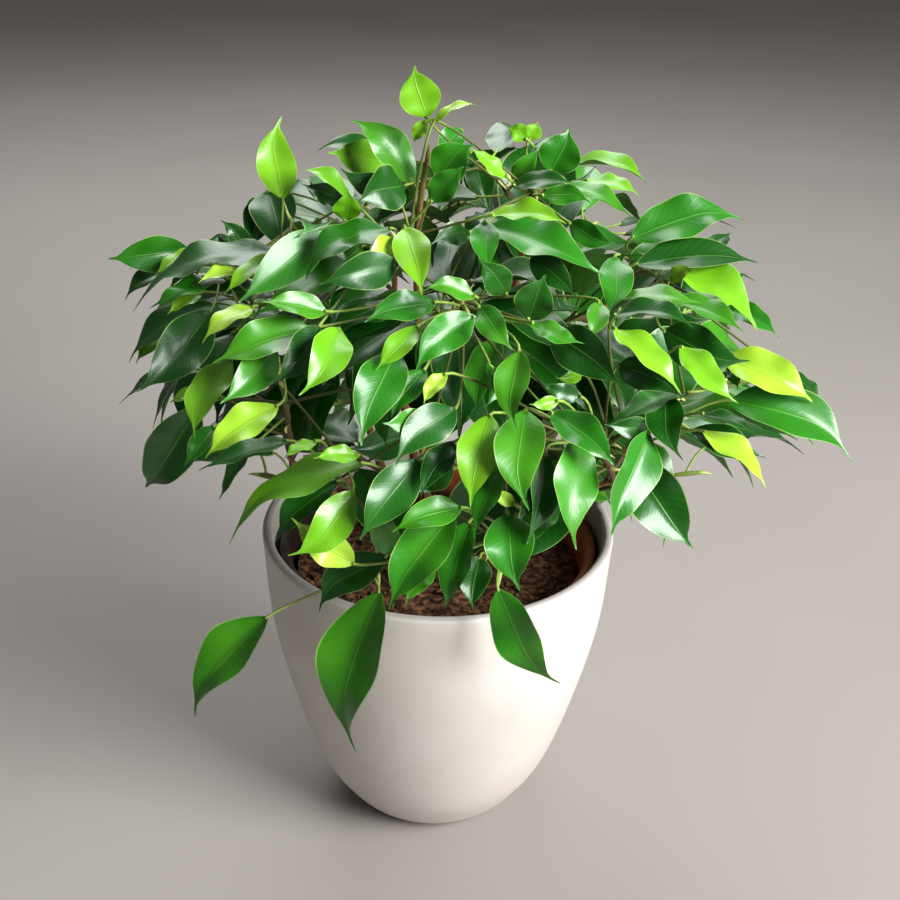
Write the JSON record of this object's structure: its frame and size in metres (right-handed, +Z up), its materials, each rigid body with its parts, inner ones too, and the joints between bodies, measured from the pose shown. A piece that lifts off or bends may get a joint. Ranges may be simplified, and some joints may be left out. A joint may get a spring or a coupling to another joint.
{
  "type": "potted weeping fig",
  "caption": "Young weeping fig: a low dome of glossy pointed leaves on thin woody stems, in a nursery pot inside a plain tapered ceramic cover pot.",
  "frame": {"origin": "centre of the cover pot's flat base, on the surface that it stands on", "axes": "+Z up, -Y towards the side that the picture shows, +X to the right of that view"},
  "size_m": [0.2602, 0.259, 0.2995],
  "materials": {
    "cover_pot": "satin",
    "nursery_pot": "matte",
    "potting_soil": "matte",
    "woody_stem": "matte",
    "leaf": "satin"
  },
  "bodies": {
    "root": {"cover_pot": "cover_pot", "nursery_pot": "nursery_pot", "potting_soil": "potting_soil", "stem_1": "woody_stem", "stem_2": "woody_stem", "stem_3": "woody_stem", "stem_4": "woody_stem", "stem_5": "woody_stem", "stem_6": "woody_stem", "stem_7": "woody_stem", "spray_01": "leaf", "spray_02": "leaf", "spray_03": "leaf", "spray_04": "leaf", "spray_05": "leaf", "spray_06": "leaf", "spray_07": "leaf", "spray_08": "leaf", "spray_09": "leaf", "spray_10": "leaf", "spray_11": "leaf", "spray_12": "leaf", "spray_13": "leaf", "spray_14": "leaf", "spray_15": "leaf", "spray_16": "leaf", "spray_17": "leaf", "spray_18": "leaf", "spray_19": "leaf", "spray_20": "leaf", "spray_21": "leaf", "spray_22": "leaf", "spray_23": "leaf", "spray_24": "leaf", "spray_25": "leaf", "spray_26": "leaf", "spray_27": "leaf", "spray_28": "leaf", "spray_29": "leaf", "spray_30": "leaf", "spray_31": "leaf", "spray_32": "leaf", "spray_33": "leaf", "spray_34": "leaf", "spray_35": "leaf", "spray_36": "leaf", "spray_37": "leaf", "spray_38": "leaf", "spray_39": "leaf", "spray_40": "leaf", "spray_41": "leaf", "spray_42": "leaf"}
  },
  "joints": []
}
